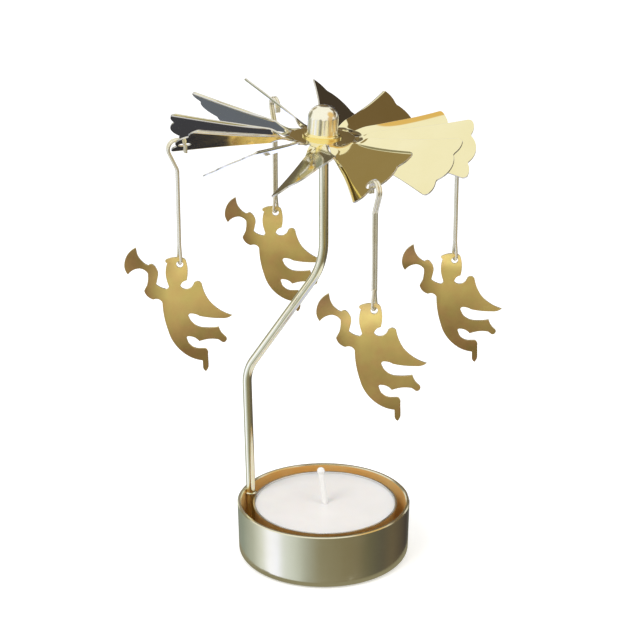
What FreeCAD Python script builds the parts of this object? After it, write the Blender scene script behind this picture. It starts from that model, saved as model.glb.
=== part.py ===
import FreeCAD, Part
import math
import os

# Angel chime carousel: a drawn brass cup for one tealight, a bent rod that rises beside the
# candle to a needle point, and a twelve bladed wheel that turns on it with four hanging angels.
# Millimetres. The origin is the middle of the cup's underside, +Z is up and -Y is the front.

# Cup: drawn sheet with a slight taper and a rounded rim
cup_rim_radius = 22.7
cup_height = 14.9
cup_taper = 0.3
cup_wall = 1.0
cup_corner_radius = 2.0
cup_rim_break = 0.25

# Tealight: foil cup, wax, wick and the little plate that holds the wick
candle_radius = 18.7
candle_cup_height = 13.2
candle_cup_wall = 0.25
candle_lip_width = 0.3
candle_lip_height = 0.45
candle_corner_radius = 1.2
candle_offset = 0.4
wax_drop = 0.4
wax_gap = 0.05
wick_diameter = 1.5
wick_height = 10.2
wick_lean = 1.1
wick_bud_diameter = 2.0
sustainer_radius = 6.5
sustainer_thickness = 0.3
sustainer_neck_wall = 0.3
sustainer_neck_height = 3.0

# Mast: one rod, bent twice, soldered inside the cup and sharpened at the top
mast_diameter = 2.4
mast_azimuth_deg = 161.7
mast_wall_gap = 0.05
mast_low_bend_height = 49.0
mast_high_bend_height = 80.3
mast_low_bend_radius = 11.0
mast_high_bend_radius = 20.0
needle_length = 6.0
needle_tip_radius = 0.25
needle_gap = 0.05
solder_height = 3.0
solder_spread = 0.4

# Wheel: one stamped sheet, slit into blades that are twisted at their necks. It rides on a
# point, so it leans a little to its heavier side.
wheel_height = 113.5
wheel_lean_deg = 3.0
wheel_radius = 37.95
wheel_sheet = 0.4
wheel_bore_radius = 2.4
blade_count = 12
first_blade_azimuth_deg = -66.9
blade_pitch_deg = 37.2
# Each blade is twisted by hand: how much less or more than the pitch, and how far it droops
blade_pitch_trims_deg = [0, 0, 0, -6.0, 0, 0, 0, 0, 0, -7.0, -7.5, 0]
blade_droops_deg = [0, 0, 0, 5.0, 2.7, 0, -1.7, 0, 2.1, -2.1, 0, 0]
slit_width = 0.9
hub_apothem = 8.0
neck_length = 5.0
edge_hollow = 0.5
lobe_half_width = 4.2
lobe_height = 1.7
corner_lobe_height = 0.6
corner_setback = 1.7
corner_round = 1.1
hook_hole_radius = 1.6
hook_hole_edge = 3.0
hook_hole_offset = 2.8

# Hub cap: a drawn dome with a flared foot, which the needle bears in
cap_radius = 3.8
cap_height = 7.8
cap_wall = 0.4
cap_crown_radius = 3.2
cap_flare_radius = 0.7
cap_flange_width = 0.4

# Hangers: a doubled wire with a hook on top and an eye round the angel's head
hanger_count = 4
wire_diameter = 0.75
strand_pitch = 0.7
hook_radius = 2.2
hook_clearance = 0.12
hook_tail = 1.2
hook_return_deg = 25.0
hook_return_bend = 3.0
hanger_drop = 29.1
eye_height = 5.0
eye_radius = 1.0
eye_turn_limit_deg = 28.0

# Angels: flat stamped silhouettes
angel_height = 32.9
angel_sheet = 0.5
head_hole_radius = 0.85
head_hole_gap = 0.25

# The angel's outline, as shares of its height measured from the middle of the head hole.
# One point draws a line to it. Two points draw an arc through the first to the second.
angel_start_share = (-0.3219, 0.1365)
angel_outline_shares = [
    # trumpet bell: mouth, lower tip, underside and tube
    [(-0.3945, 0.0699), (-0.4152, -0.0116)],
    [(-0.4079, -0.0450), (-0.3909, -0.0745)],
    [(-0.3500, -0.0395), (-0.3009, -0.0277)],
    [(-0.2663, -0.0410), (-0.2419, -0.0672)],
    # forearm, elbow and upper arm
    [(-0.2435, -0.1160), (-0.2523, -0.1602)],
    [(-0.2763, -0.2052)],
    [(-0.2550, -0.2480), (-0.2100, -0.2763)],
    [(-0.1700, -0.2750), (-0.1438, -0.3024)],
    # belly and the back of the lower leg
    [(-0.1365, -0.4103), (-0.1094, -0.5319)],
    [(-0.0550, -0.6520), (0.0243, -0.7295)],
    [(0.0821, -0.7599), (0.1404, -0.7739)],
    # lower foot
    [(0.1410, -0.8198)],
    [(0.1474, -0.8480), (0.1626, -0.8623)],
    [(0.1790, -0.8400), (0.1854, -0.8122)],
    [(0.1842, -0.7201)],
    [(0.1810, -0.6920), (0.1638, -0.6757)],
    # shin of the lower leg up to the crotch
    [(0.1219, -0.6757)],
    [(0.0699, -0.6611), (0.0368, -0.6207)],
    [(0.0261, -0.5863)],
    # thigh and knee of the raised leg
    [(0.0360, -0.5765), (0.0450, -0.5763)],
    [(0.0860, -0.5865), (0.1210, -0.6167)],
    [(0.1489, -0.6091)],
    # raised foot
    [(0.2067, -0.5994), (0.2684, -0.6052)],
    [(0.2966, -0.6280)],
    [(0.3235, -0.6200), (0.3255, -0.5860)],
    [(0.2980, -0.5580), (0.2723, -0.5024)],
    # calf of the raised leg and the small of the back
    [(0.2520, -0.5064)],
    [(0.2040, -0.5090), (0.1547, -0.5064)],
    [(0.0881, -0.4787), (0.0526, -0.4231)],
    [(0.0500, -0.4020), (0.0650, -0.3930)],
    # wing: underside, tip, leading edge and shoulder
    [(0.0960, -0.3970), (0.1328, -0.4140)],
    [(0.2150, -0.4290), (0.3009, -0.4343)],
    [(0.3440, -0.4300), (0.3760, -0.4116)],
    [(0.2830, -0.3660), (0.2097, -0.2948)],
    [(0.1748, -0.2249), (0.1593, -0.1675)],
    [(0.1295, -0.1353), (0.0960, -0.1580)],
    [(0.0578, -0.1947), (0.0122, -0.1900)],
    # neck and the back of the head
    [(-0.0021, -0.1751)],
    [(0.0120, -0.1450), (0.0462, -0.1286)],
    [(0.0578, -0.0547), (0.0486, 0.0213)],
    [(0.0365, 0.0426), (0.0091, 0.0502)],
    # crown, forelock and the front of the head
    [(-0.0426, 0.0556), (-0.1006, 0.0392)],
    [(-0.1079, 0.0258), (-0.0936, 0.0125)],
    [(-0.1085, -0.0547), (-0.0994, -0.1377)],
    # shoulder, raised arm and fist
    [(-0.0897, -0.1733)],
    [(-0.1003, -0.1920), (-0.1201, -0.1915)],
    [(-0.1540, -0.1780), (-0.1827, -0.1565)],
    [(-0.1657, -0.0851)],
    [(-0.1748, -0.0304), (-0.2006, 0.0015)],
    [(-0.2160, 0.0055), (-0.2353, -0.0040)],
    # top of the trumpet tube
    [(-0.2526, 0.0036)],
    [(-0.2948, 0.0471), (-0.3149, 0.0924)],
    [(-0.3219, 0.1365)],
]

# Names of the hangers and angels, anticlockwise from the front as seen from above
station_names = ["front", "right", "back", "left"]

cup_base_radius = cup_rim_radius - cup_taper
cup_bore_radius = cup_rim_radius - cup_wall
cup_inner_corner = cup_corner_radius - cup_wall
candle_floor = cup_wall
wax_top = candle_floor + candle_cup_height - wax_drop
mast_radius = mast_diameter / 2
wire_radius = wire_diameter / 2
blades_per_hanger = blade_count // hanger_count
blade_step = 2 * math.pi / blade_count
wheel_top = wheel_height + wheel_sheet / 2
cap_top = wheel_top + cap_height
needle_top = cap_top - cap_wall - needle_gap
overrun = wheel_sheet

UP = FreeCAD.Vector(0, 0, 1)
ORIGIN = FreeCAD.Vector(0, 0, 0)


def vec(x, y, z):
    return FreeCAD.Vector(x, y, z)


def line(a, b):
    return Part.LineSegment(a, b).toShape()


def arc(a, b, c):
    return Part.Arc(a, b, c).toShape()


def smooth(share):
    # Eases from nothing to one with level ends
    return share * share * (3 - 2 * share)


def fillet_arc(before, corner, after, radius):
    # The arc of the given radius that rounds a corner, as its two ends and its middle
    to_before = (before - corner).normalize()
    to_after = (after - corner).normalize()
    half_turn = (math.pi - to_before.getAngle(to_after)) / 2
    reach = radius * math.tan(half_turn)
    start = corner + to_before * reach
    end = corner + to_after * reach
    inward = (to_before + to_after).normalize()
    centre = corner + inward * (radius / math.cos(half_turn))
    return start, centre - inward * radius, end


def rounded_path(points, radii):
    # Straight runs joined by tangent arcs, one radius for each inner point
    edges = []
    here = points[0]
    for index, radius in enumerate(radii):
        start, middle, end = fillet_arc(here, points[index + 1], points[index + 2], radius)
        edges.append(line(here, start))
        edges.append(arc(start, middle, end))
        here = end
    edges.append(line(here, points[-1]))
    return Part.Wire(edges)


def turned(edges):
    # The solid swept by a closed profile in the XZ plane as it goes round the Z axis
    return Part.Face(Part.Wire(edges)).revolve(ORIGIN, UP, 360)


def leaned(shape):
    # Tips what belongs to the wheel about the needle's point, the +X side low
    copy = shape.copy()
    copy.rotate(vec(0, 0, needle_top), vec(0, 1, 0), wheel_lean_deg)
    return copy


def turned_about(shape, azimuth_deg):
    copy = shape.copy()
    copy.rotate(ORIGIN, UP, azimuth_deg)
    return copy


def drawn_cup(rim_radius, base_radius, floor, height, wall, corner, rim_break):
    # A cup drawn from sheet: level floor, round corner, slightly tapered wall, broken rim edges
    taper = (rim_radius - base_radius) / height
    swing = (math.pi / 2 + math.atan(taper)) / 2
    inner_corner = corner - wall
    top = floor + height
    side_foot = vec(base_radius + taper * corner, 0, floor + corner)
    centre = side_foot - vec(corner, 0, 0)
    corner_low = centre - vec(0, 0, corner)
    corner_mid = centre + vec(math.sin(swing), 0, -math.cos(swing)) * corner
    edges = [arc(corner_low, corner_mid, side_foot)]
    stops = [
        side_foot,
        vec(rim_radius, 0, top - rim_break),
        vec(rim_radius - rim_break, 0, top),
        vec(rim_radius - wall + rim_break, 0, top),
        vec(rim_radius - wall, 0, top - rim_break),
        side_foot - vec(wall, 0, 0),
        vec(centre.x + inner_corner / 2, 0, floor + wall),
        vec(0, 0, floor + wall),
        vec(0, 0, floor),
        corner_low,
    ]
    for start, end in zip(stops, stops[1:]):
        edges.append(line(start, end))
    return turned(edges)


def base_cup():
    return drawn_cup(cup_rim_radius, cup_base_radius, 0, cup_height, cup_wall,
                     cup_corner_radius, cup_rim_break)


def candle_place(shape):
    shape.translate(vec(candle_offset, 0, 0))
    return shape


def tealight_cup():
    # Foil cup with a lip that turns out and down
    wall = candle_cup_wall
    foil = drawn_cup(candle_radius, candle_radius, candle_floor, candle_cup_height, wall,
                     candle_corner_radius, wall / 4)
    lip_radius = candle_radius + candle_lip_width
    top = candle_floor + candle_cup_height - wall / 4
    lip = Part.makeCylinder(lip_radius, candle_lip_height, vec(0, 0, top - candle_lip_height))
    bore = Part.makeCylinder(candle_radius - wall / 2, candle_cup_height, vec(0, 0, candle_floor + wall))
    return candle_place(foil.fuse(lip.cut(bore)).removeSplitter())


def sustainer_shape(gap):
    # Round plate with a short tube that grips the wick, grown by the gap for its bed in the wax
    low = candle_floor + candle_cup_wall
    neck_radius = wick_diameter / 2 + sustainer_neck_wall + gap
    plate = Part.makeCylinder(sustainer_radius + gap, sustainer_thickness + gap, vec(0, 0, low))
    neck = Part.makeCylinder(neck_radius, sustainer_neck_height + gap, vec(0, 0, low))
    return plate.fuse(neck).removeSplitter()


def wick_path():
    # Straight up through the wax, then leaning to the left
    low = candle_floor + candle_cup_wall + sustainer_thickness
    bend = vec(0, 0, wax_top)
    top = vec(-wick_lean, 0, wax_top + wick_height - wick_bud_diameter / 2)
    return rounded_path([vec(0, 0, low), bend, top], [wick_diameter * 2]), low, top


def tealight_wick():
    path, low, top = wick_path()
    stem = path.makePipe(Part.Face(Part.Wire(Part.makeCircle(wick_diameter / 2, vec(0, 0, low), UP))))
    bud = Part.makeSphere(wick_bud_diameter / 2, top)
    return candle_place(stem.fuse(bud).removeSplitter())


def tealight_sustainer():
    low = candle_floor + candle_cup_wall + sustainer_thickness
    bore = Part.makeCylinder(wick_diameter / 2 + wax_gap, sustainer_neck_height, vec(0, 0, low))
    return candle_place(sustainer_shape(0).cut(bore))


def tealight_wax():
    # Fills the foil cup, with a bed for the plate and the wick
    radius = candle_radius - candle_cup_wall - wax_gap
    low = candle_floor + candle_cup_wall
    wax = Part.makeCylinder(radius, wax_top - low, vec(0, 0, low))
    foot = [edge for edge in wax.Edges if edge.Closed and edge.CenterOfMass.z < wax_top - wax_gap]
    wax = wax.makeChamfer(candle_corner_radius, foot)
    bore = Part.makeCylinder(wick_diameter / 2 + wax_gap, wax_top, vec(0, 0, low))
    return candle_place(wax.cut(sustainer_shape(wax_gap)).cut(bore))


def mast_foot_radius(height):
    # Distance from the axis to the middle of the rod where it follows the cup's tapered wall
    taper = cup_taper / cup_height
    return cup_bore_radius - mast_wall_gap - mast_radius - taper * (cup_height - height)


def mast_local():
    # The rod in the XZ plane, its foot on the +X side
    low = cup_wall + cup_inner_corner
    foot = vec(mast_foot_radius(low), 0, low)
    low_bend = vec(mast_foot_radius(mast_low_bend_height), 0, mast_low_bend_height)
    high_bend = vec(0, 0, mast_high_bend_height)
    shoulder = vec(0, 0, needle_top - needle_length)
    path = rounded_path([foot, low_bend, high_bend, shoulder],
                        [mast_low_bend_radius, mast_high_bend_radius])
    start = Part.Wire(Part.makeCircle(mast_radius, foot, low_bend - foot))
    rod = path.makePipe(Part.Face(start))
    cone = Part.makeCone(mast_radius, needle_tip_radius, needle_length - needle_tip_radius, shoulder)
    tip = Part.makeSphere(needle_tip_radius, vec(0, 0, needle_top - needle_tip_radius))
    return rod.fuse([cone, tip]).removeSplitter()


def mast_solder(mast, cup):
    # A drop of solder round the rod just under the rim, joined to the wall on both sides of it
    half = solder_height / 2
    middle = cup_height - cup_rim_break - half
    foot = vec(mast_foot_radius(middle), 0, middle)
    spread = mast_radius + solder_spread
    profile = [
        line(vec(0, 0, -half), vec(spread, 0, half / 2)),
        line(vec(spread, 0, half / 2), vec(0, 0, half)),
        line(vec(0, 0, half), vec(0, 0, -half)),
    ]
    bead = turned(profile)
    bead.translate(foot)
    within = Part.makeCylinder(cup_bore_radius + cup_wall / 2, cup_height)
    behind = Part.makeBox(mast_diameter, mast_radius, cup_height, foot - vec(0, mast_radius / 2, middle))
    bead = turned_about(bead.common(within).cut(behind), mast_azimuth_deg)
    candle = Part.makeCylinder(candle_radius + candle_lip_width + mast_wall_gap, cup_height,
                               vec(candle_offset, 0, 0))
    return bead.cut(candle).cut(cup).cut(mast)


def blade_half_width(radius):
    # Half the width of a blade across its middle line, at a distance from the axis
    return radius * math.tan(blade_step / 2) - slit_width / 2 / math.cos(blade_step / 2)


def pitch_deg(index):
    return blade_pitch_deg + blade_pitch_trims_deg[index % len(blade_pitch_trims_deg)]


def droop_deg(index):
    return blade_droops_deg[index % len(blade_droops_deg)]


def bent(shape, index, share=1.0):
    # Swings a blade, or a share of its bend, down about the line where its neck leaves the hub
    shape.rotate(vec(hub_apothem, 0, 0), vec(0, 1, 0), droop_deg(index) * share)
    return shape


def blade_section(index, radius, share):
    # A thin rectangle across the blade, turned by a share of its full pitch
    half = blade_half_width(radius)
    thick = wheel_sheet / 2
    angle = math.radians(pitch_deg(index)) * share
    corners = []
    for side, level in ((-1, -1), (1, -1), (1, 1), (-1, 1)):
        across = side * half
        above = level * thick
        corners.append(vec(radius, across * math.cos(angle) - above * math.sin(angle),
                           across * math.sin(angle) + above * math.cos(angle)))
    return bent(Part.makePolygon(corners + [corners[0]]), index, share)


def blade_neck(index):
    # The twisted neck between the flat hub and the flat blade
    steps = 4
    sections = []
    for step in range(steps + 1):
        share = step / steps
        sections.append(blade_section(index, hub_apothem + neck_length * share, smooth(share)))
    return Part.makeLoft(sections, True, False)


def blade_plate(index):
    # The flat blade: hollow sides, rounded corners and an outer edge of three lobes
    inner = hub_apothem + neck_length
    notch = wheel_radius - lobe_height
    tip = wheel_radius - corner_setback
    inner_half = blade_half_width(inner)
    tip_half = blade_half_width(tip)
    middle = (inner + tip) / 2
    middle_half = (inner_half + tip_half) / 2 - edge_hollow
    corner_middle = (lobe_half_width + tip_half) / 2
    corner_start = tip_half - corner_round
    bulge = corner_round * (1 - math.sqrt(0.5))

    def flat(radius, across):
        return vec(radius, across, -wheel_sheet / 2)

    def side(sign):
        # From the neck out to the notch, on one side of the middle line
        root = flat(inner, sign * inner_half)
        corner_low = flat(tip - corner_round, sign * blade_half_width(tip - corner_round))
        corner_mid = flat(tip - bulge, sign * (tip_half - bulge))
        corner_high = flat(tip, sign * corner_start)
        lobe_top = flat(notch + corner_lobe_height, sign * corner_middle)
        dip = flat(notch, sign * lobe_half_width)
        return [
            arc(root, flat(middle, sign * middle_half), corner_low),
            arc(corner_low, corner_mid, corner_high),
            arc(corner_high, lobe_top, dip),
        ]

    crown = arc(flat(notch, lobe_half_width), flat(wheel_radius, 0), flat(notch, -lobe_half_width))
    root = line(flat(inner, inner_half), flat(inner, -inner_half))
    outline = Part.Wire(Part.__sortEdges__([root, crown] + side(1) + side(-1)))
    plate = Part.Face(outline).extrude(vec(0, 0, wheel_sheet))
    plate.rotate(ORIGIN, vec(1, 0, 0), pitch_deg(index))
    return bent(plate, index)


def hook_hole(index):
    # A hole square to the blade, near its outer edge and towards its lower side
    hole = Part.makeCylinder(hook_hole_radius, wheel_sheet + overrun * 2,
                             vec(wheel_radius - hook_hole_edge, -hook_hole_offset,
                                 -wheel_sheet / 2 - overrun))
    hole.rotate(ORIGIN, vec(1, 0, 0), pitch_deg(index))
    return bent(hole, index)


def wheel_disc():
    corners = []
    for index in range(blade_count):
        angle = (index + 0.5) * blade_step
        reach = hub_apothem / math.cos(blade_step / 2)
        corners.append(vec(reach * math.cos(angle), reach * math.sin(angle), -wheel_sheet / 2))
    hub = Part.Face(Part.makePolygon(corners + [corners[0]])).extrude(vec(0, 0, wheel_sheet))
    bore = Part.makeCylinder(wheel_bore_radius, wheel_sheet + overrun * 2,
                             vec(0, 0, -wheel_sheet / 2 - overrun))
    blades = []
    for index in range(blade_count):
        blade = blade_neck(index).fuse(blade_plate(index)).removeSplitter()
        if index % blades_per_hanger == 0:
            blade = blade.cut(hook_hole(index))
        blades.append(turned_about(blade, math.degrees(index * blade_step)))
    disc = hub.cut(bore).fuse(blades).removeSplitter()
    disc = turned_about(disc, first_blade_azimuth_deg)
    disc.translate(vec(0, 0, wheel_height))
    return leaned(disc)


def hub_cap():
    # Crown, straight wall and a foot that flares out onto the wheel
    flange = cap_radius + cap_flare_radius + cap_flange_width
    foot = wheel_top + cap_wall
    bore = cap_radius - cap_wall
    slant = math.sqrt(0.5)
    flare = vec(cap_radius + cap_flare_radius, 0, foot + cap_flare_radius)
    crown = vec(cap_radius - cap_crown_radius, 0, cap_top - cap_crown_radius)
    edges = [
        arc(flare - vec(0, 0, cap_flare_radius), flare - vec(slant, 0, slant) * cap_flare_radius,
            flare - vec(cap_flare_radius, 0, 0)),
        line(flare - vec(cap_flare_radius, 0, 0), crown + vec(cap_crown_radius, 0, 0)),
        arc(crown + vec(cap_crown_radius, 0, 0), crown + vec(slant, 0, slant) * cap_crown_radius,
            crown + vec(0, 0, cap_crown_radius)),
    ]
    stops = [
        crown + vec(0, 0, cap_crown_radius),
        vec(0, 0, cap_top),
        vec(0, 0, cap_top - cap_wall),
        crown + vec(0, 0, cap_crown_radius - cap_wall),
        vec(bore, 0, crown.z),
        vec(bore, 0, foot + cap_flare_radius / 2),
        vec(flare.x, 0, wheel_top),
        vec(flange, 0, wheel_top),
        vec(flange, 0, foot),
        vec(flare.x, 0, foot),
    ]
    for start, end in zip(stops, stops[1:]):
        edges.append(line(start, end))
    return leaned(turned(edges))


def hook_centre(index):
    # The middle of a hook's bend on its own blade, in the frame of a level wheel turned to +X
    pitch = math.radians(pitch_deg(index))
    inner_radius = hook_radius - wire_radius
    half_strip = (hook_hole_edge - hook_hole_radius) / 2
    sag = inner_radius - math.sqrt(inner_radius ** 2 - half_strip ** 2)
    lift = (strand_pitch / 2 * math.tan(pitch) + hook_clearance + sag
            + (wheel_sheet / 2 + wire_radius) / math.cos(pitch))
    drop = hook_radius - lift
    reach = math.sqrt(hook_radius ** 2 - drop ** 2)
    centre = vec(wheel_radius - hook_hole_edge + reach, -hook_hole_offset * math.cos(pitch),
                 -hook_hole_offset * math.sin(pitch) - drop)
    fold = vec(hub_apothem, 0, 0)
    droop = FreeCAD.Rotation(vec(0, 1, 0), droop_deg(index))
    return fold + droop.multVec(centre - fold) + vec(0, 0, wheel_height)


head_hole_drop = head_hole_radius - wire_radius - head_hole_gap


def station_azimuth(station):
    return first_blade_azimuth_deg + math.degrees(station * 2 * math.pi / hanger_count)


def station_hook(station):
    # The middle of a hook's bend on the leaning wheel
    centre = hook_centre(station * blades_per_hanger)
    level = FreeCAD.Rotation(UP, station_azimuth(station)).multVec(centre)
    pivot = vec(0, 0, needle_top)
    return pivot + FreeCAD.Rotation(vec(0, 1, 0), wheel_lean_deg).multVec(level - pivot)


def station_eye(station):
    # The lowest point of a hanger's eye, straight below its hook
    return station_hook(station) - vec(0, 0, hanger_drop)


def doubled_wire_section(middle, across, along):
    # Two round strands side by side, as one closed outline square to the wire's run
    half = strand_pitch / 2
    waist = math.sqrt(wire_radius ** 2 - half ** 2)
    normal = along.cross(across)
    lower = middle - normal * waist
    upper = middle + normal * waist
    return Part.Face(Part.Wire([
        arc(lower, middle + across * (half + wire_radius), upper),
        arc(upper, middle - across * (half + wire_radius), lower),
    ]))


def hook_and_shank():
    # Round the middle of the bend: the tail comes up through the hole, the bend passes over the
    # blade's edge, and the wire comes back under it to hang below the middle of the bend
    back = math.radians(hook_return_deg)
    tail_end = vec(-hook_radius, 0, -hook_tail)
    tail_top = vec(-hook_radius, 0, 0)
    crown = vec(0, 0, hook_radius)
    leave = vec(hook_radius * math.cos(back), 0, -hook_radius * math.sin(back))
    run = hook_radius * math.cos(back) / math.sin(back)
    elbow = leave - vec(math.sin(back), 0, math.cos(back)) * run
    low = vec(0, 0, eye_height - wire_radius - hanger_drop)
    start, middle, end = fillet_arc(leave, elbow, low, hook_return_bend)
    path = Part.Wire([
        line(tail_end, tail_top),
        arc(tail_top, crown, leave),
        line(leave, start),
        arc(start, middle, end),
        line(end, low),
    ])
    return path.makePipe(doubled_wire_section(tail_end, vec(0, 1, 0), UP))


def hanger_eye(station):
    # A teardrop of single wire: round through the head hole, its legs closing on the shank. Its
    # plane is that of the two strands, but no further from the sheet's normal than the limit.
    strand = (station_azimuth(station) + 90) % 180
    turn = max(90 - eye_turn_limit_deg, min(90 + eye_turn_limit_deg, strand))
    apart = strand_pitch / 2
    rise = eye_height - eye_radius
    reach = math.sqrt(apart ** 2 + rise ** 2)
    swing = math.atan2(rise, apart) - math.acos(eye_radius / reach)
    touch = vec(eye_radius * math.cos(swing), 0, eye_radius * (1 + math.sin(swing)))
    top = vec(apart, 0, eye_height)
    path = Part.Wire([
        line(top, touch),
        arc(touch, ORIGIN, vec(-touch.x, 0, touch.z)),
        line(vec(-touch.x, 0, touch.z), vec(-top.x, 0, top.z)),
    ])
    section = Part.Face(Part.Wire(Part.makeCircle(wire_radius, top, touch - top)))
    return turned_about(path.makePipe(section), turn)


def hanger(station):
    shank = turned_about(hook_and_shank(), station_azimuth(station))
    eye = hanger_eye(station)
    eye.translate(vec(0, 0, -hanger_drop))
    whole = shank.fuse(eye).removeSplitter()
    whole.translate(station_hook(station))
    return whole


def angel_blank():
    # The flat silhouette round its head hole, upright in the XZ plane, facing -Y
    here = vec(angel_start_share[0], 0, angel_start_share[1]) * angel_height
    edges = []
    for step in angel_outline_shares:
        stops = [vec(x, 0, z) * angel_height for x, z in step]
        if len(stops) == 1:
            edges.append(line(here, stops[0]))
        else:
            edges.append(arc(here, stops[0], stops[1]))
        here = stops[-1]
    blank = Part.Face(Part.Wire(edges)).extrude(vec(0, angel_sheet, 0))
    hole = Part.makeCylinder(head_hole_radius, angel_sheet + overrun * 2, vec(0, -overrun, 0),
                             vec(0, 1, 0))
    blank = blank.cut(hole).Solids[0]
    blank.translate(vec(0, -angel_sheet / 2, -head_hole_drop))
    return blank


def angel(station):
    # Turned about the wire in its head hole until its weight hangs straight below
    shape = angel_blank()
    weight = shape.CenterOfMass
    shape.rotate(ORIGIN, vec(0, 1, 0), -math.degrees(math.atan2(-weight.x, -weight.z)))
    shape.translate(station_eye(station))
    return shape


def build():
    cup = base_cup()
    mast = turned_about(mast_local(), mast_azimuth_deg)
    parts = {
        "base_cup": cup,
        "mast": mast,
        "mast_solder": mast_solder(mast, cup),
        "tealight_cup": tealight_cup(),
        "tealight_wax": tealight_wax(),
        "tealight_wick": tealight_wick(),
        "tealight_sustainer": tealight_sustainer(),
        "rotor_disc": wheel_disc(),
        "hub_cap": hub_cap(),
    }
    for station, name in enumerate(station_names):
        parts["hanger_" + name] = hanger(station)
        parts["angel_" + name] = angel(station)
    return parts


def main():
    os.makedirs("parts", exist_ok=True)
    for name, shape in build().items():
        if len(shape.Solids) == 1:
            shape = shape.Solids[0]
        shape.exportStep("parts/" + name + ".step")
        box = shape.BoundBox
        print(name, "valid", shape.isValid(), "solids", len(shape.Solids),
              "volume %.2f" % shape.Volume,
              "x %.2f %.2f y %.2f %.2f z %.2f %.2f" % (box.XMin, box.XMax, box.YMin, box.YMax,
                                                       box.ZMin, box.ZMax))
    for station, name in enumerate(station_names):
        print(name, "hook", tuple(station_hook(station)), "eye", tuple(station_eye(station)))


main()
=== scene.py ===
"""The angel chime carousel, dressed for the camera: brass, wax, studio and lights."""
import math

import bmesh
import bpy
from mathutils import Matrix, Vector

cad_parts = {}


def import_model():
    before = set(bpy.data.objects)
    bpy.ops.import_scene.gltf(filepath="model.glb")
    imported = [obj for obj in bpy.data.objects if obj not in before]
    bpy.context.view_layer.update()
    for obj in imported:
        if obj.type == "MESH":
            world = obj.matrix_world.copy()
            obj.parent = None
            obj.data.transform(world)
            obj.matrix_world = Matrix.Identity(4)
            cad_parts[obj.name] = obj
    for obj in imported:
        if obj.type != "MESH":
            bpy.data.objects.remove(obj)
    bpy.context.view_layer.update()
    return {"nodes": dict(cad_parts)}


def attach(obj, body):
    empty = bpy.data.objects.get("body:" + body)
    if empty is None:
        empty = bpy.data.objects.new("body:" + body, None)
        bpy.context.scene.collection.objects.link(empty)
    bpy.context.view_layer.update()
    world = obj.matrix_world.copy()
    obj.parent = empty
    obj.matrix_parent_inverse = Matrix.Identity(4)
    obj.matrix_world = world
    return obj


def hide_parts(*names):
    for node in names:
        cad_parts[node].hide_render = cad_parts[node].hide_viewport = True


MM = 0.001

# Camera, fitted to the photograph
camera_place = Vector((0.0, -466.2, 240.67)) * MM
camera_pitch_deg = 20.61
camera_yaw = 0.002
camera_lens = 109.9
camera_sensor = 36.0
camera_near = 0.01
camera_far = 50

# Wheel, as in the frame
wheel_height = 113.5 * MM
wheel_lean = math.radians(3.0)
needle_top = 121.05 * MM
wheel_radius = 37.95 * MM
wheel_sheet = 0.4 * MM
wheel_bore_radius = 2.4 * MM
blade_count = 12
first_blade_azimuth = math.radians(-66.9)
blade_pitch_deg = 37.2
blade_pitch_trims_deg = [0, 0, 0, -6.0, 0, 0, 0, 0, 0, -7.0, -7.5, 0]
blade_droops_deg = [0, 0, 0, 5.0, 2.7, 0, -1.7, 0, 2.1, -2.1, 0, 0]
slit_width = 0.9 * MM
hub_apothem = 8.0 * MM
neck_length = 5.0 * MM
edge_hollow = 0.5 * MM
lobe_half_width = 4.2 * MM
lobe_height = 1.7 * MM
corner_lobe_height = 0.6 * MM
corner_lobe_reach = 1.05
corner_setback = 1.7 * MM
corner_round = 1.1 * MM
hook_hole_radius = 1.6 * MM
hook_hole_edge = 3.0 * MM
hook_hole_offset = 2.8 * MM
blades_per_hanger = 3

# Rolled edges of the blades, each share being one blade's part of the full curl
raised_curl_width = 0.9 * MM
raised_curl = 0.3 * MM
raised_curl_shares = [1, 1, 1, 2.2, 1, 1, 1, 1, 1, 1, 1, 0.25]
lowered_curl_width = 0.4 * MM
lowered_curl_growth = 0.6 * MM
lowered_curl = 0.32 * MM
lowered_curl_shares = [1] + [0.3] * (blade_count - 1)
curl_growth_length = wheel_radius / 3

# Cap and cup, as in the frame
cap_foot_height = 1.0 * MM
cup_floor = 1.0 * MM
cup_floor_zone = 2 * cup_floor

# Meshes: how finely the wheel is divided, and how the solids' faces and edges are cleaned
blade_columns = 40
blade_rows = 56
column_crowding = 1.35
hub_rings = 6
hub_steps_per_blade = 8
weld_distance = 0.002 * MM
flat_angle_deg = 0.2
sharp_angle_deg = 35.0
bevel_segments = 3
sheet_bevel_share = 0.3
sheet_bevel_angle_deg = 50
solder_bevel = 0.15 * MM
figure_bevel = 0.2 * MM
figure_bevel_angle_deg = 25.0

# A face looks along a direction when its normal has this share of it
facing_share = 0.9

# The place of a piece's second material, on its rims, its inside or its foot
second_slot = 1

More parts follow.
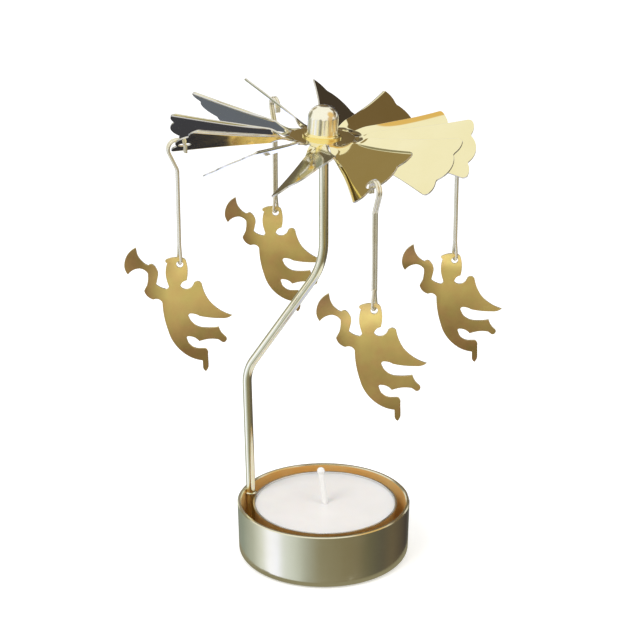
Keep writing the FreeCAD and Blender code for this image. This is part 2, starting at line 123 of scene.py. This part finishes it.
# Metals: colour, tarnished colour, roughness from and to, scale of the tarnish, depth and scale of
# the waves, depth of the brushing, metallic share
metal_finishes = {
    "sheet_brass": ((0.93, 0.86, 0.56), (0.9, 0.82, 0.49), 0.04, 0.08, 60, 0.01 * MM, 90, 0, 1),
    "cut_edge": ((0.8, 0.78, 0.72), (0.68, 0.65, 0.56), 0.25, 0.4, 200, 0.01 * MM, 300, 0, 1),
    "cap_brass": ((0.98, 0.95, 0.82), (0.95, 0.9, 0.72), 0.16, 0.24, 120, 0.02 * MM, 200, 0, 1),
    "foot_brass": ((1.0, 0.88, 0.44), (0.97, 0.8, 0.34), 0.15, 0.25, 120, 0.02 * MM, 200, 0, 1),
    "rod_brass": ((0.9, 0.87, 0.68), (0.84, 0.79, 0.56), 0.08, 0.16, 90, 0.01 * MM, 120, 0, 1),
    "wire_brass": ((0.88, 0.84, 0.7), (0.8, 0.75, 0.58), 0.12, 0.24, 160, 0.01 * MM, 150, 0, 0.8),
    "cup_brass": ((0.84, 0.81, 0.63), (0.78, 0.74, 0.55), 0.13, 0.19, 50, 0.005 * MM, 60,
                  0.002 * MM, 1),
    # Painted reflection: a warmer, less metallic copy of the cup's brass for its inner wall and floor, so
    # that the gap glows amber
    "cup_inside_painted_reflection": ((1.0, 0.68, 0.27), (1.0, 0.56, 0.16), 0.3, 0.45, 80, 0.02 * MM, 120, 0, 0.2),
    "figure_edge": ((0.92, 0.82, 0.52), (0.8, 0.68, 0.38), 0.14, 0.24, 200, 0.01 * MM, 300, 0, 1),
    "foil": ((0.86, 0.86, 0.85), (0.78, 0.78, 0.77), 0.12, 0.25, 200, 0.03 * MM, 300, 0, 1),
}
noise_roughness = 0.55
noise_range = (0.3, 0.7)
tarnish_detail = 6.0
tarnish_range = (0.35, 0.68)
polish_scale_ratio = 2.3
polish_detail = 5.0
wave_detail = 2.0
brushing_scale = 900.0
brushing_detail = 3.0
brushing_roughness = 0.6
brushing_stretch = (0.02, 0.02, 6.0)
brushing_anisotropy = 0.6

# Angels: each colour and the same one darker, and where along the figure the darker colour is painted in
# as shade, at the feet and the horn; random aged patches use it too
figure_gold = ((1.0, 0.79, 0.27), (0.36, 0.24, 0.08))
figure_rose = ((1.0, 0.72, 0.26), (0.4, 0.23, 0.09))
figure_metallic = 0.68
figure_roughness = (0.16, 0.26)
figure_roughness_scale = 200.0
# Painted shade at the feet and the horn: where it starts and ends, and how dark it gets
foot_shade_heights = (0.1, 0.68)
foot_shade = 1.0
horn_shade_widths = (0.15, 0.4)
horn_shade = 0.95
patch_scale = 60.0
patch_detail = 5.0
patch_noise_range = (0.35, 0.65)
patch_age = (-0.12, 0.22)
hue_scale = 260.0
hue_noise_range = (0.4, 0.62)
hue_detail = 3.0
head_lean_heights = (0.6, 1.0)
head_lean_power = 2.0
head_lean_depth = 2.2 * MM
figure_wave_scale = 38.0
figure_wave_detail = 1.0
figure_wave_depth = 2.4 * MM
figure_grain_scale = 700.0
figure_grain_detail = 3.0
figure_grain_depth = 0.006 * MM

# Candle
wax_pale = (0.93, 0.9, 0.88)
wax_deep = (0.87, 0.84, 0.82)
wax_cloud_scale = 70.0
wax_cloud_detail = 5.0
wax_roughness = 0.42
wax_translucence = 0.35
wax_scatter = 4.0 * MM
wax_scatter_colour = (1.0, 0.8, 0.6)
wax_dimple_scale = 220.0
wax_dimple_detail = 3.0
wax_dimple_depth = 0.06 * MM
wax_dimple_strength = 0.6
cotton_shade = (0.93, 0.92, 0.9)
cotton_light = (1.0, 1.0, 0.98)
braid_scale = 900.0
braid_distortion = 1.5
braid_depth = 0.08 * MM
braid_strength = 0.8
wick_roughness = 0.85

# Studio
floor_radius = 8
floor_sides = 96
floor_tone = 0.92
floor_roughness = 0.9
floor_glow = 0.35
ambient_strength = 0.65
background_strength = 1.0
shade_radius = 25.2 * MM
shade_sides = 64
shade_height = 0.05 * MM
shade_light = (0.3, 0.28, 0.2)
tent_radius = 2.5
tent_height = 0.1
tent_segments = 48
tent_rings = 24
lamp_target = Vector((0, 0, 0.06))

# Each lamp: name, place, size and power
lamps = [
    ("key", (-0.5, -0.5, 0.9), 0.5, 5.0),
    ("fill", (0.6, -0.4, 0.7), 0.6, 2.0),
]

# What upright metal sees: a ring of the tent just below level, by azimuth from -X round by -Y
tent_ground = (0.97, 0.97, 0.93)
tent_ring = [
    (-180, (0.85, 0.9, 0.95)),
    (-170, (1.2, 1.25, 1.6)),
    (-156, (1.15, 1.2, 1.6)),
    (-145, (0.8, 0.86, 0.95)),
    (-128, (0.65, 0.7, 0.72)),
    (-112, (0.43, 0.45, 0.42)),
    (-95, (0.3, 0.28, 0.2)),
    (-60, (0.25, 0.22, 0.14)),
    (-44, (0.24, 0.21, 0.14)),
    (-28, (0.16, 0.15, 0.1)),
    (-5, (0.12, 0.11, 0.09)),
    (15, (0.16, 0.13, 0.09)),
    (60, (0.06, 0.05, 0.05)),
    (90, (0.25, 0.26, 0.22)),
    (130, (0.3, 0.34, 0.3)),
    (160, (0.5, 0.53, 0.5)),
    (180, (0.85, 0.9, 0.95)),
]
ring_top_deg = -6.0
ring_top_fade_deg = 8.0
ring_foot_deg = -36.0
ring_foot_fade_deg = 6.0

# Each patch of the tent: azimuth from +X, height, inner and outer radius in degrees, colour
tent_patches = [
    (0, -90, 36, 43, (0.66, 0.71, 1.05)),
    (-80, -69, 12, 18, (0.36, 0.34, 0.24)),
    (150, -53, 13, 17, (0.78, 0.85, 1.35)),
    (-17, 34, 18, 28, (0.8, 0.55, 0.22)),
    (147, 10, 15, 21, (0.28, 0.27, 0.2)),
    (-86, -2, 8, 12, (1.05, 1.0, 0.95)),
    (-110, -2, 6, 10, (0.18, 0.16, 0.1)),
    (-35, 4, 16, 24, (0.68, 0.48, 0.24)),
    (15, 14, 12, 18, (0.45, 0.34, 0.2)),
    (85, 33, 9, 13, (0.16, 0.13, 0.1)),
    (70, -50, 7, 10, (0.1, 0.07, 0.03)),
    (98, -71, 5, 7, (0.12, 0.08, 0.03)),
    (119, -15, 6, 9, (0.8, 0.86, 1.15)),
    (131, -46, 7, 10, (0.2, 0.18, 0.14)),
    (-112, -48, 9, 14, (0.22, 0.2, 0.15)),
    (94, 8, 8, 12, (0.17, 0.13, 0.08)),
    (88, 16, 7, 11, (0.22, 0.16, 0.08)),
    (71, 6, 15, 21, (0.055, 0.043, 0.035)),
    (28, 20, 11, 16, (0.171, 0.119, 0.06)),
    (48, 31, 11, 16, (0.171, 0.119, 0.06)),
    (122, 30, 9, 14, (0.31, 0.24, 0.12)),
    (101, 1, 8, 11, (0.14, 0.12, 0.08)),
    (69, -9, 4, 7, (1.0, 1.1, 1.5)),
    (92, -12, 7, 9, (1.0, 1.08, 1.6)),
    (90, -24, 6, 8, (1.1, 1.2, 1.7)),
    (110, -40, 4.6, 6.5, (0.13, 0.152, 0.23)),
    (104.5, -58, 6, 9, (0.05, 0.053, 0.085)),
    (87.5, -43.5, 3.6, 4.8, (0.8, 0.57, 0.2)),
    (96.7, -42, 4.9, 5.2, (0.03, 0.03, 0.04)),
]

stations = ["front", "right", "back", "left"]

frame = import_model()
blade_step = 2 * math.pi / blade_count
blade_tip = wheel_radius - corner_setback


# Materials

def new_material(name):
    material = bpy.data.materials.new(name)
    material.use_nodes = True
    tree = material.node_tree
    return material, tree, tree.nodes["Principled BSDF"]


def add(tree, kind, **settings):
    node = tree.nodes.new(kind)
    for key, value in settings.items():
        setattr(node, key, value)
    return node


def set_inputs(node, **values):
    for key, value in values.items():
        node.inputs[key.replace("_", " ")].default_value = value


def combine(tree, operation, first, second, **settings):
    node = add(tree, "ShaderNodeMath", operation=operation, **settings)
    tree.links.new(first, node.inputs[0])
    tree.links.new(second, node.inputs[1])
    return node.outputs["Value"]


def noise(tree, scale, detail, roughness=noise_roughness, stretch=None):
    place = add(tree, "ShaderNodeTexCoord")
    texture = add(tree, "ShaderNodeTexNoise")
    set_inputs(texture, Scale=scale, Detail=detail, Roughness=roughness)
    if stretch is None:
        tree.links.new(place.outputs["Object"], texture.inputs["Vector"])
    else:
        mapping = add(tree, "ShaderNodeMapping")
        mapping.inputs["Scale"].default_value = stretch
        tree.links.new(place.outputs["Object"], mapping.inputs["Vector"])
        tree.links.new(mapping.outputs["Vector"], texture.inputs["Vector"])
    return texture.outputs["Fac"]


def remap(tree, value, low, high, to_low, to_high):
    node = add(tree, "ShaderNodeMapRange")
    set_inputs(node, From_Min=low, From_Max=high, To_Min=to_low, To_Max=to_high)
    tree.links.new(value, node.inputs["Value"])
    return node.outputs["Result"]


def mix_colours(tree, factor, first, second):
    # Each colour is a tuple or the output of a node
    mix = add(tree, "ShaderNodeMix", data_type="RGBA")
    for slot, value in (("A", first), ("B", second)):
        if isinstance(value, tuple):
            mix.inputs[slot].default_value = (*value, 1)
        else:
            tree.links.new(value, mix.inputs[slot])
    tree.links.new(factor, mix.inputs["Factor"])
    return mix.outputs["Result"]


def bump(tree, height, distance, strength=1.0, normal=None):
    node = add(tree, "ShaderNodeBump")
    set_inputs(node, Distance=distance, Strength=strength)
    tree.links.new(height, node.inputs["Height"])
    if normal is not None:
        tree.links.new(normal, node.inputs["Normal"])
    return node.outputs["Normal"]


def metal(name, colour, tarnish, rough_low, rough_high, mottle, wave, wave_scale, brushed, metallic):
    # Metal with patches of thinner polish, a slow waviness of the sheet and, if asked, a brushing
    material, tree, shader = new_material(name)
    set_inputs(shader, Metallic=metallic)
    patch = remap(tree, noise(tree, mottle, tarnish_detail), *tarnish_range, 0, 1)
    tree.links.new(mix_colours(tree, patch, colour, tarnish), shader.inputs["Base Color"])
    polish = noise(tree, mottle * polish_scale_ratio, polish_detail)
    rough = remap(tree, polish, *noise_range, rough_low, rough_high)
    tree.links.new(rough, shader.inputs["Roughness"])
    normal = bump(tree, noise(tree, wave_scale, wave_detail), wave)
    if brushed:
        lines = noise(tree, brushing_scale, brushing_detail, brushing_roughness, brushing_stretch)
        normal = bump(tree, lines, brushed, normal=normal)
        set_inputs(shader, Anisotropic=brushing_anisotropy)
        tangent = add(tree, "ShaderNodeTangent", direction_type="RADIAL", axis="Z")
        tree.links.new(tangent.outputs["Tangent"], shader.inputs["Tangent"])
    tree.links.new(normal, shader.inputs["Normal"])
    return material


def figure_material():
    # Satin gold sheet: painted shade darkens it at the feet and the horn, random aged patches darken it
    # here and there, and the head leans forward a little
    material, tree, shader = new_material("figure_brass")
    place = add(tree, "ShaderNodeTexCoord")
    parts = add(tree, "ShaderNodeSeparateXYZ")
    tree.links.new(place.outputs["Generated"], parts.inputs["Vector"])
    # Painted shade: the sheet turns darker towards the feet and towards the horn
    feet = remap(tree, parts.outputs["Z"], *foot_shade_heights, foot_shade, 0)
    horn = remap(tree, parts.outputs["X"], *horn_shade_widths, horn_shade, 0)
    patch = remap(tree, noise(tree, patch_scale, patch_detail), *patch_noise_range, *patch_age)
    # The darker colour comes in through the painted shade and through the random aged patches
    shade_and_age = combine(tree, "ADD", combine(tree, "ADD", horn, feet), patch, use_clamp=True)
    gold = mix_colours(tree, shade_and_age, *figure_gold)
    rose = mix_colours(tree, shade_and_age, *figure_rose)
    hue = remap(tree, noise(tree, hue_scale, hue_detail), *hue_noise_range, 0, 1)
    tree.links.new(mix_colours(tree, hue, gold, rose), shader.inputs["Base Color"])
    polish = noise(tree, figure_roughness_scale, polish_detail)
    rough = remap(tree, polish, *noise_range, *figure_roughness)
    tree.links.new(rough, shader.inputs["Roughness"])
    set_inputs(shader, Metallic=figure_metallic)
    lean = add(tree, "ShaderNodeMath", operation="POWER")
    lean.inputs[1].default_value = head_lean_power
    tree.links.new(remap(tree, parts.outputs["Z"], *head_lean_heights, 0, 1), lean.inputs[0])
    head = bump(tree, lean.outputs["Value"], head_lean_depth)
    waves = noise(tree, figure_wave_scale, figure_wave_detail)
    wavy = bump(tree, waves, figure_wave_depth, normal=head)
    grain = noise(tree, figure_grain_scale, figure_grain_detail)
    tree.links.new(bump(tree, grain, figure_grain_depth, normal=wavy), shader.inputs["Normal"])
    return material


def wax_material():
    material, tree, shader = new_material("candle_wax")
    cloud = remap(tree, noise(tree, wax_cloud_scale, wax_cloud_detail), *noise_range, 0, 1)
    tree.links.new(mix_colours(tree, cloud, wax_pale, wax_deep), shader.inputs["Base Color"])
    set_inputs(shader, Roughness=wax_roughness, Subsurface_Weight=wax_translucence,
               Subsurface_Scale=wax_scatter, Subsurface_Radius=wax_scatter_colour)
    dimples = noise(tree, wax_dimple_scale, wax_dimple_detail)
    normal = bump(tree, dimples, wax_dimple_depth, wax_dimple_strength)
    tree.links.new(normal, shader.inputs["Normal"])
    return material


def wick_material():
    material, tree, shader = new_material("cotton_wick")
    braid = add(tree, "ShaderNodeTexWave", bands_direction="DIAGONAL")
    set_inputs(braid, Scale=braid_scale, Distortion=braid_distortion)
    place = add(tree, "ShaderNodeTexCoord")
    tree.links.new(place.outputs["Object"], braid.inputs["Vector"])
    strands = braid.outputs["Fac"]
    tree.links.new(mix_colours(tree, strands, cotton_shade, cotton_light), shader.inputs["Base Color"])
    set_inputs(shader, Roughness=wick_roughness)
    tree.links.new(bump(tree, strands, braid_depth, braid_strength), shader.inputs["Normal"])
    return material


metals = {name: metal(name, *finish) for name, finish in metal_finishes.items()}
figure_brass = figure_material()
wax = wax_material()
wick = wick_material()


# Pieces made from the frame's own solids

def paint(node, material):
    for slot in frame["nodes"][node].material_slots:
        slot.material = material


def round_edges(piece, width, angle_deg):
    bevel = piece.modifiers.new("rounded_edges", "BEVEL")
    bevel.width = width
    bevel.segments = bevel_segments
    bevel.limit_method = "ANGLE"
    bevel.angle_limit = math.radians(angle_deg)
    bevel.harden_normals = True
    return bevel


def dressed(node, body, material, edge=0.0, angle_deg=sharp_angle_deg):
    # A copy of the node with its flat faces whole again, its edges rounded and its curves smooth
    source = frame["nodes"][node]
    mesh = source.data.copy()
    work = bmesh.new()
    work.from_mesh(mesh)
    bmesh.ops.remove_doubles(work, verts=work.verts, dist=weld_distance)
    bmesh.ops.dissolve_limit(work, angle_limit=math.radians(flat_angle_deg), verts=work.verts,
                             edges=work.edges)
    for face in work.faces:
        face.smooth = True
    for line in work.edges:
        if line.is_manifold and line.calc_face_angle() > math.radians(angle_deg):
            line.smooth = False
    work.to_mesh(mesh)
    work.free()
    mesh.materials.clear()
    mesh.materials.append(material)
    mesh.normals_split_custom_set([(0, 0, 0)] * len(mesh.loops))
    piece = bpy.data.objects.new("look_" + node, mesh)
    bpy.context.collection.objects.link(piece)
    if edge:
        round_edges(piece, edge, angle_deg)
    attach(piece, body)
    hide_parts(node)
    return piece


cup = dressed("base_cup", "stand", metals["cup_brass"])
# Painted reflection: the inner wall and floor take the warmer copy of the cup's brass
cup.data.materials.append(metals["cup_inside_painted_reflection"])
for face in cup.data.polygons:
    reach = Vector((face.center.x, face.center.y, 0))
    inward = face.normal.dot(reach.normalized()) < -facing_share
    if inward or (face.normal.z > facing_share and face.center.z < cup_floor_zone):
        face.material_index = second_slot
dressed("mast", "stand", metals["rod_brass"])
dressed("mast_solder", "stand", metals["rod_brass"], solder_bevel)
cap = dressed("hub_cap", "rotor", metals["cap_brass"])
cap.data.materials.append(metals["foot_brass"])
level = Matrix.Rotation(-wheel_lean, 3, "Y")
for face in cap.data.polygons:
    upright = level @ (face.center - Vector((0, 0, needle_top)))
    if upright.z + needle_top < wheel_height + wheel_sheet / 2 + cap_foot_height:
        face.material_index = second_slot
dressed("tealight_cup", "candle", metals["foil"])
dressed("tealight_wax", "candle", wax)
dressed("tealight_wick", "candle", wick)
paint("tealight_sustainer", metals["foil"])
for station in stations:
    dressed("hanger_" + station, "hanger_" + station, metals["wire_brass"])
    angel = dressed("angel_" + station, "angel_" + station, figure_brass,
                    figure_bevel, figure_bevel_angle_deg)
    angel.data.materials.append(metals["figure_edge"])
    angel.modifiers["rounded_edges"].material = second_slot
    for face in angel.data.polygons:
        if abs(face.normal.y) < facing_share:
            face.material_index = second_slot


# The wheel, with the rolled edges that its solid leaves plain

def smooth(share):
    share = max(0.0, min(1.0, share))
    return share * share * (3 - 2 * share)


def blade_half_width(radius):
    return radius * math.tan(blade_step / 2) - slit_width / 2 / math.cos(blade_step / 2)


def blade_end(across):
    # Radius of the scalloped end at a distance from the blade's middle line
    notch = wheel_radius - lobe_height
    width = blade_half_width(blade_tip)
    side = abs(across)
    if side < lobe_half_width:
        lobe = (lobe_half_width ** 2 + lobe_height ** 2) / (2 * lobe_height)
        return wheel_radius - lobe + math.sqrt(lobe ** 2 - side ** 2)
    share = (side - lobe_half_width) / (width - lobe_half_width)
    end = notch + corner_lobe_height * math.sin(math.pi * min(1.0, share * corner_lobe_reach))
    inset = side - (width - corner_round)
    if inset > 0:
        end -= corner_round - math.sqrt(max(0.0, corner_round ** 2 - inset ** 2))
    return end


def edge_bow(radius):
    # How far a blade's long edges draw in, past its neck
    share = (radius - hub_apothem - neck_length) / (blade_tip - hub_apothem - neck_length)
    return max(0.0, edge_hollow * math.sin(math.pi * max(0.0, share)))


def curl(index, across, half, radius):
    # Height of the sheet over its flat: up at the raised edge, down at the lowered one
    grow = smooth((radius - hub_apothem - neck_length / 2) / curl_growth_length)
    raised = raised_curl_shares[index]
    up = max(0.0, 1 - (half - across) / (raised_curl_width * raised))
    lowered = lowered_curl_shares[index]
    down_width = (lowered_curl_width + lowered_curl_growth * grow) * lowered
    down = max(0.0, 1 - (half + across) / down_width)
    return grow * (raised_curl * raised * up ** 2 - lowered_curl * lowered ** 2 * down ** 2)


def blade_point(index, radius, across, height):
    # A point of a blade that lies along +X, turned and drooping by its share of the bend
    share = smooth((radius - hub_apothem) / neck_length)
    angle = math.radians(blade_pitch_deg + blade_pitch_trims_deg[index]) * share
    point = Vector((radius - hub_apothem, across * math.cos(angle) - height * math.sin(angle),
                    across * math.sin(angle) + height * math.cos(angle)))
    point.rotate(Matrix.Rotation(math.radians(blade_droops_deg[index]) * share, 3, "Y"))
    return point + Vector((hub_apothem, 0, 0))


def cut_hole(index, work, flat):
    # Takes out the faces inside the hook's hole and draws its rim onto a circle
    middle = Vector((wheel_radius - hook_hole_edge, -hook_hole_offset))
    inside = []
    for face in work.faces:
        centre = sum((Vector(flat[corner]) for corner in face.verts), Vector((0, 0))) / len(face.verts)
        if (centre - middle).length < hook_hole_radius:
            inside.append(face)
    lines = {line for face in inside for line in face.edges}
    rim = [line for line in lines if sum(face in inside for face in line.link_faces) == 1]
    corners = {corner for line in rim for corner in line.verts}
    bmesh.ops.delete(work, geom=inside, context="FACES")
    for corner in corners:
        outward = (Vector(flat[corner]) - middle).normalized() * hook_hole_radius
        corner.co = blade_point(index, middle.x + outward.x, middle.y + outward.y, 0)


def blade_mesh(index):
    # One blade along +X, its columns crowded towards the two long edges
    work = bmesh.new()
    grid = []
    flat = {}
    for row in range(blade_rows + 1):
        line = []
        for column in range(blade_columns + 1):
            side = 2 * column / blade_columns - 1
            side = math.copysign(1 - (1 - abs(side)) ** column_crowding, side)
            end = blade_end(side * blade_half_width(blade_tip))
            radius = hub_apothem + (end - hub_apothem) * row / blade_rows
            half = blade_half_width(min(radius, blade_tip)) - edge_bow(radius)
            across = side * half
            height = curl(index, across, half, radius)
            corner = work.verts.new(blade_point(index, radius, across, height))
            flat[corner] = (radius, across)
            line.append(corner)
        grid.append(line)
    for near, far in zip(grid, grid[1:]):
        for column in range(blade_columns):
            face = work.faces.new((near[column], far[column], far[column + 1], near[column + 1]))
            face.smooth = True
    if index % blades_per_hanger == 0:
        cut_hole(index, work, flat)
    mesh = bpy.data.meshes.new("blade")
    work.to_mesh(mesh)
    work.free()
    return mesh


def add_hub(work):
    # The flat middle of the wheel, from its bore out to the twelve sided line of the necks
    steps = hub_steps_per_blade * blade_count
    grid = []
    for ring in range(hub_rings + 1):
        line = []
        for step in range(steps):
            angle = first_blade_azimuth + step * blade_step / hub_steps_per_blade
            past = (step + hub_steps_per_blade // 2) % hub_steps_per_blade
            offset = (past / hub_steps_per_blade - 0.5) * blade_step
            reach = hub_apothem / math.cos(offset)
            radius = wheel_bore_radius + (reach - wheel_bore_radius) * ring / hub_rings
            line.append(work.verts.new((radius * math.cos(angle), radius * math.sin(angle), 0)))
        grid.append(line)
    for near, far in zip(grid, grid[1:]):
        for step in range(steps):
            following = (step + 1) % steps
            face = work.faces.new((near[step], far[step], far[following], near[following]))
            face.smooth = True


def thicken(piece):
    solid = piece.modifiers.new("sheet", "SOLIDIFY")
    solid.thickness = wheel_sheet
    solid.offset = 0.0
    solid.use_even_offset = True
    solid.material_offset_rim = second_slot
    bevel = round_edges(piece, wheel_sheet * sheet_bevel_share, sheet_bevel_angle_deg)
    bevel.material = second_slot


def wheel():
    work = bmesh.new()
    for index in range(blade_count):
        blade = blade_mesh(index)
        blade.transform(Matrix.Rotation(first_blade_azimuth + index * blade_step, 4, "Z"))
        work.from_mesh(blade)
    add_hub(work)
    bmesh.ops.translate(work, vec=(0, 0, wheel_height), verts=work.verts)
    bmesh.ops.rotate(work, cent=(0, 0, needle_top), matrix=Matrix.Rotation(wheel_lean, 3, "Y"),
                     verts=work.verts)
    mesh = bpy.data.meshes.new("wheel")
    work.to_mesh(mesh)
    work.free()
    mesh.materials.append(metals["sheet_brass"])
    mesh.materials.append(metals["cut_edge"])
    piece = bpy.data.objects.new("look_wheel", mesh)
    bpy.context.collection.objects.link(piece)
    thicken(piece)
    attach(piece, "rotor")
    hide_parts("rotor_disc")


wheel()


# Studio: floor, a reflection tent that only polished metal sees, lamps and camera

def direction(azimuth_deg, height_deg):
    azimuth = math.radians(azimuth_deg)
    height = math.radians(height_deg)
    return (math.cos(azimuth) * math.cos(height), math.sin(azimuth) * math.cos(height), math.sin(height))


def fade(tree, value, outside, inside):
    # Zero up to one value and one from another, smooth between them
    share = add(tree, "ShaderNodeMapRange", interpolation_type="SMOOTHSTEP")
    set_inputs(share, From_Min=outside, From_Max=inside)
    tree.links.new(value, share.inputs["Value"])
    return share.outputs["Result"]


def facing(tree, ray, azimuth, height, inner, outer):
    # One inside a patch of directions, fading to zero at its outer radius
    near = add(tree, "ShaderNodeVectorMath", operation="DOT_PRODUCT")
    near.inputs[1].default_value = direction(azimuth, height)
    tree.links.new(ray, near.inputs[0])
    return fade(tree, near.outputs["Value"], math.cos(math.radians(outer)), math.cos(math.radians(inner)))


def ring_colour(tree, parts):
    turn = combine(tree, "ARCTAN2", parts.outputs["Y"], parts.outputs["X"])
    ramp = add(tree, "ShaderNodeValToRGB")
    stops = ramp.color_ramp.elements
    stops.remove(stops[1])
    for index, (azimuth, colour) in enumerate(tent_ring):
        stop = stops[0] if index == 0 else stops.new((azimuth + 180) / 360)
        stop.color = (*colour, 1)
    tree.links.new(remap(tree, turn, -math.pi, math.pi, 0, 1), ramp.inputs["Fac"])
    return ramp.outputs["Color"]


def band(tree, parts):
    # One in the ring's heights, fading above and below
    shares = []
    for edge_deg, fade_deg in ((ring_top_deg, ring_top_fade_deg), (ring_foot_deg, -ring_foot_fade_deg)):
        outside = math.sin(math.radians(edge_deg + fade_deg))
        inside = math.sin(math.radians(edge_deg))
        shares.append(fade(tree, parts.outputs["Z"], outside, inside))
    return combine(tree, "MULTIPLY", *shares)


def only_reflected(item):
    item.visible_camera = False
    item.visible_diffuse = False
    item.visible_shadow = False
    item.visible_transmission = False


def reflection_tent():
    bpy.ops.mesh.primitive_uv_sphere_add(segments=tent_segments, ring_count=tent_rings,
                                         radius=tent_radius, location=(0, 0, tent_height))
    tent = bpy.context.active_object
    tent.name = "reflection_tent"
    material = bpy.data.materials.new("tent_light")
    material.use_nodes = True
    tree = material.node_tree
    tree.nodes.clear()
    output = add(tree, "ShaderNodeOutputMaterial")
    light = add(tree, "ShaderNodeEmission")
    place = add(tree, "ShaderNodeTexCoord")
    ray = add(tree, "ShaderNodeVectorMath", operation="NORMALIZE")
    tree.links.new(place.outputs["Object"], ray.inputs[0])
    parts = add(tree, "ShaderNodeSeparateXYZ")
    tree.links.new(ray.outputs["Vector"], parts.inputs["Vector"])
    colour = mix_colours(tree, band(tree, parts), tent_ground, ring_colour(tree, parts))
    for azimuth, height, inner, outer, tint in tent_patches:
        share = facing(tree, ray.outputs["Vector"], azimuth, height, inner, outer)
        colour = mix_colours(tree, share, colour, tint)
    tree.links.new(colour, light.inputs["Color"])
    tree.links.new(light.outputs["Emission"], output.inputs["Surface"])
    tent.data.materials.append(material)
    only_reflected(tent)


def studio_floor():
    bpy.ops.mesh.primitive_circle_add(vertices=floor_sides, radius=floor_radius, fill_type="NGON",
                                      location=(0, 0, 0))
    floor = bpy.context.active_object
    floor.name = "studio_floor"
    material, tree, shader = new_material("pale_floor")
    set_inputs(shader, Base_Color=(floor_tone, floor_tone, floor_tone, 1), Roughness=floor_roughness,
               Emission_Color=(1, 1, 1, 1))
    path = add(tree, "ShaderNodeLightPath")
    glow = remap(tree, path.outputs["Is Camera Ray"], 0, 1, 0, floor_glow)
    tree.links.new(glow, shader.inputs["Emission Strength"])
    floor.data.materials.append(material)
    floor.visible_glossy = False


def contact_shade():
    # What the polished foot of the cup sees close by: its own shade on the floor
    bpy.ops.mesh.primitive_circle_add(vertices=shade_sides, radius=shade_radius, fill_type="NGON",
                                      location=(0, 0, shade_height))
    shade = bpy.context.active_object
    shade.name = "contact_shade"
    material, tree, shader = new_material("shaded_floor")
    set_inputs(shader, Base_Color=(0, 0, 0, 1), Roughness=1, Specular_IOR_Level=0,
               Emission_Color=(*shade_light, 1), Emission_Strength=1)
    shade.data.materials.append(material)
    only_reflected(shade)


def lamp(name, place, size, power):
    data = bpy.data.lights.new(name, "AREA")
    data.shape = "SQUARE"
    data.size = size
    data.energy = power
    item = bpy.data.objects.new(name, data)
    item.location = place
    item.rotation_euler = (lamp_target - Vector(place)).to_track_quat("-Z", "Y").to_euler()
    item.visible_glossy = False
    bpy.context.collection.objects.link(item)


def world():
    # White for the camera, mirrors and glass, and softer as light on the object
    surroundings = bpy.data.worlds.new("studio")
    bpy.context.scene.world = surroundings
    surroundings.use_nodes = True
    tree = surroundings.node_tree
    back = tree.nodes["Background"]
    back.inputs["Color"].default_value = (1, 1, 1, 1)
    path = add(tree, "ShaderNodeLightPath")
    seen = combine(tree, "MAXIMUM", path.outputs["Is Camera Ray"], path.outputs["Is Glossy Ray"])
    seen = combine(tree, "MAXIMUM", seen, path.outputs["Is Transmission Ray"])
    strength = remap(tree, seen, 0, 1, ambient_strength, background_strength)
    tree.links.new(strength, back.inputs["Strength"])


def camera():
    data = bpy.data.cameras.new("camera")
    data.lens = camera_lens
    data.sensor_width = camera_sensor
    data.clip_start = camera_near
    data.clip_end = camera_far
    item = bpy.data.objects.new("camera", data)
    item.location = camera_place
    item.rotation_euler = (math.radians(90 - camera_pitch_deg), 0, camera_yaw)
    bpy.context.collection.objects.link(item)
    bpy.context.scene.camera = item


reflection_tent()
studio_floor()
contact_shade()
for name, place, size, power in lamps:
    lamp(name, place, size, power)
world()
camera()
bpy.context.scene.view_settings.view_transform = "Standard"
